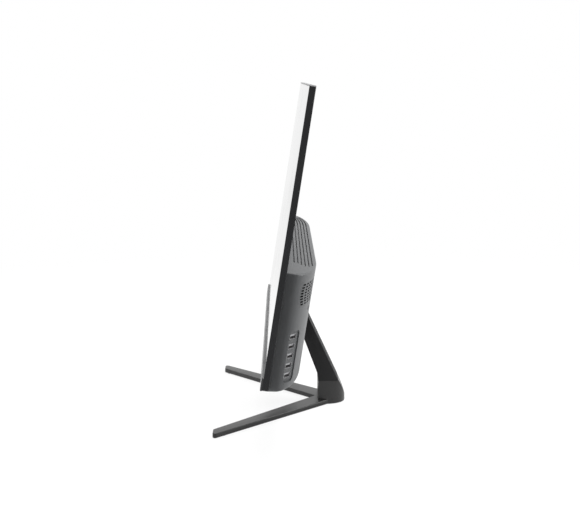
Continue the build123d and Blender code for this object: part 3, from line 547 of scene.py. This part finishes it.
# ---------------------------------------------------------------- mesh tools
class Piece:
    """A mesh under construction, and the steps that turn it into a finished piece."""

    def __init__(self, name: str, body: Body, slot: str) -> None:
        """Start an empty mesh that will ride on a body, and keep the name of a slot that nothing reads."""
        self.name = name
        self.body = body
        self.slot = slot
        self.mesh = bmesh.new()

    def copy_node(self, node: str) -> "Piece":
        """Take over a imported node's shape, with its triangles welded.

        Args:
            node: Name of the node.

        Returns:
            This piece.
        """
        self.mesh.from_mesh(bpy.data.objects[node].data)
        bmesh.ops.remove_doubles(self.mesh, verts=self.mesh.verts, dist=WELD_DISTANCE)
        return self

    def flatten(self) -> "Piece":
        """Join the triangles of each flat face."""
        bmesh.ops.dissolve_limit(self.mesh, angle_limit=FLAT_ANGLE, verts=self.mesh.verts,
                                 edges=self.mesh.edges)
        return self

    def round_edges(self, width: float, segments: int = 3, angle: float = 40.0,
                    wanted: Optional[Callable[[bmesh.types.BMEdge], bool]] = None) -> "Piece":
        """Round the sharp outer edges.

        Args:
            width: Width of the rounding, in metres.
            segments: Steps round each edge.
            angle: Least turn, in degrees, that counts as sharp.
            wanted: Test that an edge must also pass.

        Returns:
            This piece.
        """
        edges = [edge for edge in self.mesh.edges
                 if edge.is_manifold and edge.calc_face_angle(0.0) > radians(angle)
                 and (wanted is None or wanted(edge))]
        bmesh.ops.bevel(self.mesh, geom=edges, offset=width, offset_type="OFFSET", affect="EDGES",
                        segments=segments, profile=0.5, material=-1, clamp_overlap=True)
        return self

    def block(self, size: Vector, centre: Vector, axes: Matrix, bevel: float) -> None:
        """Add a block with softened edges.

        Args:
            size: Its three sizes, in metres.
            centre: Its middle.
            axes: Rotation that turns the block.
            bevel: Width of the edge rounding, in metres.
        """
        place = Matrix.Translation(centre) @ axes.to_4x4() @ Matrix.Diagonal((*size, 1.0))
        made = bmesh.ops.create_cube(self.mesh, size=1.0, matrix=place)["verts"]
        edges = list({edge for vert in made for edge in vert.link_edges})
        bmesh.ops.bevel(self.mesh, geom=edges, offset=bevel, offset_type="OFFSET", affect="EDGES",
                        segments=2, profile=0.5, material=-1, clamp_overlap=True)

    def done(self, material: bpy.types.Material, *replaced: str, smooth: float = 32.0) -> bpy.types.Object:
        """Close the mesh off as an object.

        Args:
            material: Its finish.
            replaced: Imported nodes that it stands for.
            smooth: Edges that turn less than this, in degrees, are shaded smooth.

        Returns:
            The object.
        """
        data = bpy.data.meshes.new(self.name)
        for face in self.mesh.faces:
            face.smooth = True
        for edge in self.mesh.edges:
            edge.smooth = edge.calc_face_angle(0.0) < radians(smooth)
        self.mesh.to_mesh(data)
        self.mesh.free()
        data.materials.append(material)
        piece = bpy.data.objects.new(self.name, data)
        bpy.context.scene.collection.objects.link(piece)
        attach(piece, self.body.value)
        if replaced:
            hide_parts(*replaced)
        return piece


def dress(material: bpy.types.Material, *nodes: str) -> None:
    """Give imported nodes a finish.

    Args:
        material: The finish.
        nodes: Their names.
    """
    for node in nodes:
        data = bpy.data.objects[node].data
        data.materials.clear()
        data.materials.append(material)


# ---------------------------------------------------------------- sub-assemblies
@dataclass
class Display:
    """Frame, glass, chin and the stack behind them.

    Attributes:
        edge: Rounding of the frame's edges, in metres.
    """

    edge: float = 0.0005

    def build(self, palette: Palette) -> None:
        """Make the frame and dress the stack.

        Args:
            palette: The finishes.
        """
        frame = Piece("display_frame", Body.SCREEN, "bezel").copy_node("bezel_frame").flatten()
        frame.round_edges(self.edge, segments=2, angle=60)
        frame.done(palette.bezel, "bezel_frame")
        chin = Piece("display_chin", Body.SCREEN, "bezel").copy_node("chin_bar")
        chin.done(palette.chin, "chin_bar")
        cover = Piece("display_cover", Body.SCREEN, "housing_plastic").copy_node("back_cover").flatten()
        cover.round_edges(0.0003, segments=2)
        cover.done(palette.housing, "back_cover")
        dress(palette.screen, "screen_glass")
        dress(palette.cell, "lcd_cell")
        dress(palette.milky, "diffuser_sheets")
        dress(palette.clear, "light_guide")
        dress(palette.steel, "panel_pan")
        dress(palette.board, "led_bar", "panel_driver_board")
        dress(palette.black, "panel_cable")
        log.info("display: frame, chin, cover and stack")


@dataclass
class Housing:
    """Moulded rear shell with its screws, and the dust screen under the top vents.

    Attributes:
        smooth: Turn, in degrees, up to which the shell is shaded smooth.
        screen_size: Width, depth and thickness of the dust screen, in mm.
        screen_middle: Its place across, its height and its depth, in mm.
    """

    smooth: float = 28.0
    screen_size: tuple[float, float, float] = (404.0, 25.5, 0.5)
    screen_middle: tuple[float, float, float] = (-4.0, 124.2, 25.4)

    def build(self, palette: Palette) -> None:
        """Make the shell and its screws.

        Args:
            palette: The finishes.
        """
        shell = Piece("housing_shell", Body.SCREEN, "housing_plastic").copy_node("rear_housing")
        shell.done(palette.housing, "rear_housing", smooth=self.smooth)
        screws = Piece("housing_screw_heads", Body.SCREEN, "dark_steel").copy_node("housing_screws")
        screws.done(palette.dark_steel, "housing_screws")
        dust = Piece("dust_screen", Body.SCREEN, "black_plastic")
        axes = Matrix((Vector((1, 0, 0)), REARWARD, UP)).transposed()
        dust.block(Vector(self.screen_size) * MM, unit_place(*self.screen_middle), axes, bevel=0.0001)
        dust.done(palette.weave)
        log.info("housing: shell, screws and dust screen")


@dataclass
class Sockets:
    """Side and floor sockets with their contacts.

    Attributes:
        count: Sockets in the side bay.
        low: Height of the lowest, in mm.
        pitch: Spacing, in mm.
        contact: Width, length and height of a spring contact, in mm.
        contact_row: Places of one socket's contacts along the bay, in mm.
        contact_lift: How far the contacts stand above the socket's middle, in mm.
        contact_depth: How far their middles lie behind the bay's front borders, in mm.
        bay_front: Place across and depth of the bay's front border, in mm.
        bay_rear: The same for its rear border.
    """

    count: int = 5
    low: float = 14.7
    pitch: float = 10.65
    contact: tuple[float, float, float] = (1.1, 6.0, 0.25)
    contact_row: tuple[float, ...] = (-3.5, -1.0, 1.0, 3.5)
    contact_lift: float = 0.35
    contact_depth: float = 7.1
    bay_front: tuple[float, float] = (254.8, 20.3)
    bay_rear: tuple[float, float] = (234.8, 31.5)

    def bay_axes(self) -> tuple[Vector, Vector, Vector]:
        """Directions along the bay, out of it and up it, and its middle.

        Returns:
            Along, outward, and the middle of the bay floor at height nought, in metres.
        """
        run = Vector((self.bay_rear[0] - self.bay_front[0], self.bay_rear[1] - self.bay_front[1]))
        run.normalize()
        along = Vector((run.x, 0, 0)) + REARWARD * run.y
        outward = Vector((run.y, 0, 0)) - REARWARD * run.x
        across, depth = ((front + rear) / 2 for front, rear in zip(self.bay_front, self.bay_rear))
        return along, outward, unit_place(across, 0, depth)

    def build(self, palette: Palette) -> None:
        """Make the contacts and dress the shells.

        Args:
            palette: The finishes.
        """
        along, outward, middle = self.bay_axes()
        axes = Matrix((along, outward, UP)).transposed()
        width, length, thickness = (value * MM for value in self.contact)
        contacts = Piece("side_contacts", Body.SCREEN, "brass")
        for index in range(self.count):
            height = (self.low + self.pitch * index + self.contact_lift) * MM
            for offset in self.contact_row:
                centre = middle + along * offset * MM + UP * (height - thickness / 2)
                centre = centre - outward * self.contact_depth * MM
                contacts.block(Vector((width, length, thickness)), centre, axes, bevel=0.00008)
        contacts.done(palette.gold)
        for index in range(1, self.count + 1):
            name = f"side_usb_port_{index}"
            port = Piece(f"side_socket_shell_{index}", Body.SCREEN, "plated_steel").copy_node(name)
            port.done(palette.shell, name)
        dress(palette.board, "side_port_board")
        dress(palette.shell, "rear_usb_stack", "hdmi_port", "ethernet_port")
        dress(palette.black, "dc_jack")
        log.info("sockets: %d at the side, four in the floor", self.count)


@dataclass
class Works:
    """Everything sealed inside the housing."""

    def build(self, palette: Palette) -> None:
        """Dress the parts of the works.

        Args:
            palette: The finishes.
        """
        dress(palette.steel, "chassis_plate", "fan_cover", "processor", "clock_battery")
        dress(palette.board, "motherboard", "memory_module_1", "memory_module_2", "ssd_module", "wifi_card",
              "power_switch_board")
        dress(palette.brass, "board_standoffs")
        dress(palette.nickel, "cold_plate", "heat_pipe", "wifi_antenna_left", "wifi_antenna_right")
        dress(palette.aluminium, "fin_stack", "hard_drive")
        dress(palette.black, "fan_housing", "fan_impeller", "drive_tray", "memory_socket", "speaker_left",
              "speaker_right")
        dress(palette.button, "power_button")
        log.info("works: boards, storage, cooling and sound")


@dataclass
class Hinge:
    """Bracket, shaft, washers and nuts in the well of the housing."""

    def build(self, palette: Palette) -> None:
        """Dress the hinge, with its shaft shaded round.

        Args:
            palette: The finishes.
        """
        shaft = Piece("hinge_pin", Body.SCREEN, "plated_steel").copy_node("hinge_shaft")
        shaft.done(palette.steel, "hinge_shaft")
        bracket = Piece("hinge_cheeks", Body.SCREEN, "dark_steel").copy_node("hinge_bracket")
        bracket.done(palette.dark_steel, "hinge_bracket")
        dress(palette.steel, "hinge_washers")
        dress(palette.dark_steel, "hinge_nuts", "hinge_screws")
        log.info("hinge: bracket, shaft, washers and nuts")


@dataclass
class Stand:
    """V-shaped foot, leaning neck, and the pads under the foot.

    Attributes:
        neck_edge: Rounding of the neck's edges, in metres.
        end_margin: Height at the neck's foot that stays sharp, in metres.
        corner_band: How near its side an edge lies to be rounded, in metres.
    """

    neck_edge: float = 0.0005
    end_margin: float = 0.001
    corner_band: float = 0.0005

    def build(self, palette: Palette) -> None:
        """Make the foot, the neck and the pads.

        Args:
            palette: The finishes.
        """
        neck = Piece("neck_column", Body.STAND, "neck_plastic").copy_node("stand_neck").flatten()
        low_corner, high_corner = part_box("stand_neck")
        low_z = low_corner[2] + self.end_margin
        half = high_corner[0] - self.corner_band

        def long_side(edge: bmesh.types.BMEdge) -> bool:
            """True for an edge that runs up one of the neck's corners."""
            first, second = (vert.co for vert in edge.verts)
            return abs(first.x) > half and abs(second.x) > half and max(first.z, second.z) > low_z

        neck.round_edges(self.neck_edge, 3, 50, long_side)
        neck.done(palette.neck, "stand_neck")
        foot = Piece("foot_plate", Body.STAND, "foot_metal").copy_node("stand_foot")
        foot.done(palette.foot, "stand_foot")
        dress(palette.dark_steel, "stand_screws")
        pads = Piece("foot_pads", Body.STAND, "rubber").copy_node("rubber_feet").flatten()
        pads.round_edges(0.0003, 2)
        pads.done(palette.rubber, "rubber_feet")
        log.info("stand: foot, neck and pads")


# ---------------------------------------------------------------- light, floor and camera
@dataclass(frozen=True)
class Lamp:
    """A soft square lamp.

    Attributes:
        name: Its name.
        place: Its position, in metres.
        target: What it points at.
        size: Width of the square, in metres.
        power: Watts.
    """

    name: str
    place: Colour
    target: Colour
    size: float
    power: float

    def build(self) -> None:
        """Hang the lamp."""
        data = bpy.data.lights.new(self.name, "AREA")
        data.shape = "SQUARE"
        data.size = self.size
        data.energy = self.power
        lamp = bpy.data.objects.new(self.name, data)
        lamp.location = self.place
        lamp.rotation_mode = "QUATERNION"
        lamp.rotation_quaternion = (Vector(self.target) - Vector(self.place)).to_track_quat("-Z", "Y")
        bpy.context.scene.collection.objects.link(lamp)


@dataclass
class Studio:
    """Pale floor, white surround, soft lamps and the camera.

    Attributes:
        camera_place: Camera position, in metres.
        yaw: Turn of the view from straight along the row's -X, in radians.
        pitch: Downward tilt, in radians.
        roll: Turn about the view, in radians.
        lens: Focal length on a 36 mm sensor.
        floor_reach: Half width of the floor, in metres.
        floor_fade: Distances over which the floor fades out, in metres.
        floor_white: Share of plain white in the floor where it is seen directly.
        fill: Strength of the light that the surround gives.
        lamps: The lamps.
    """

    camera_place: Vector = Vector((1.40896, 0.0032, 0.41505))
    yaw: float = 0.0058137
    pitch: float = 0.160278
    roll: float = -0.00613
    lens: float = 69.6
    floor_reach: float = 1.4
    floor_fade: tuple[float, float] = (0.45, 1.3)
    floor_white: float = 0.86
    fill: float = 0.2
    lamps: tuple[Lamp, ...] = (Lamp("overhead", (-0.1, 0.45, 1.9), (0, 0.02, 0.1), 1.4, 66.0),
                               Lamp("behind", (-0.3, 1.8, 0.7), (0, 0.02, 0.2), 1.3, 30.0),
                               Lamp("front", (0.2, -1.8, 0.9), (0, 0, 0.2), 1.3, 18.0))

    def camera(self) -> None:
        """Put the camera where the object is seen edge-on from its right."""
        data = bpy.data.cameras.new("camera")
        data.sensor_width = 36.0
        data.lens = self.lens
        level = cos(self.pitch)
        forward = Vector((-level * cos(self.yaw), level * sin(self.yaw), -sin(self.pitch)))
        camera = bpy.data.objects.new("camera", data)
        camera.location = self.camera_place
        camera.rotation_mode = "QUATERNION"
        camera.rotation_quaternion = forward.to_track_quat("-Z", "Y") @ Quaternion((0, 0, 1), self.roll)
        bpy.context.scene.collection.objects.link(camera)
        bpy.context.scene.camera = camera

    def seen_directly(self, sheet: NodeSheet) -> Wire:
        """One for camera, mirror and see-through rays, else nought.

        Args:
            sheet: Node sheet to add to.

        Returns:
            The switch.
        """
        switch = sheet.add("ShaderNodeLightPath", {}, {}, "Is Camera Ray")
        path = switch.socket.node
        glossy = Wire(sheet, path.outputs["Is Glossy Ray"])
        through = Wire(sheet, path.outputs["Is Transmission Ray"])
        return switch.maths("MAXIMUM", switch, glossy.maths("MAXIMUM", glossy, through))

    def floor(self) -> None:
        """Wide pale floor that stays white and keeps a faint shadow."""
        sheet = NodeSheet("floor_paint")
        grain = sheet.noise(40.0, 4.0)
        tone = sheet.mix(grain, (0.9, 0.9, 0.9), (0.94, 0.94, 0.94))
        plain = sheet.add("ShaderNodeBsdfDiffuse", {}, {"Color": tone}, "BSDF")
        white = sheet.add("ShaderNodeEmission", {}, {"Color": (1, 1, 1, 1), "Strength": 1.0}, "Emission")
        seen = self.seen_directly(sheet) * self.floor_white
        both = sheet.add("ShaderNodeMixShader", {}, {0: seen, 1: plain, 2: white})
        spread = sheet.add("ShaderNodeVectorMath", {"operation": "LENGTH"}, {0: sheet.place}, "Value")
        clear = sheet.add("ShaderNodeBsdfTransparent", {}, {}, "BSDF")
        faded = sheet.add("ShaderNodeMixShader", {}, {0: spread.ease(*self.floor_fade), 1: both, 2: clear})
        data = bpy.data.meshes.new("floor")
        mesh = bmesh.new()
        bmesh.ops.create_grid(mesh, x_segments=4, y_segments=4, size=self.floor_reach)
        mesh.to_mesh(data)
        mesh.free()
        data.materials.append(sheet.close(faded))
        floor = bpy.data.objects.new("floor", data)
        bpy.context.scene.collection.objects.link(floor)

    def surround(self) -> None:
        """White world for what is seen directly, dimmer for the light it gives."""
        sheet = NodeSheet("surround", world=True)
        strength = sheet.add("ShaderNodeMapRange", {}, {0: self.seen_directly(sheet), 3: self.fill, 4: 1.0})
        glow = sheet.add("ShaderNodeBackground", {}, {"Color": (1, 1, 1, 1), "Strength": strength})
        bpy.context.scene.world = sheet.close(glow)

    def build(self) -> None:
        """Set the whole studio up."""
        bpy.context.scene.view_settings.view_transform = "Standard"
        self.camera()
        self.surround()
        self.floor()
        for lamp in self.lamps:
            lamp.build()
        log.info("studio: camera, floor, surround and lamps")


def main() -> None:
    """Build the computer and its studio."""
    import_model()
    palette = Palette()
    for part in (Display(), Housing(), Sockets(), Works(), Hinge(), Stand()):
        part.build(palette)
    Studio().build()


if __name__ == "__main__":
    main()
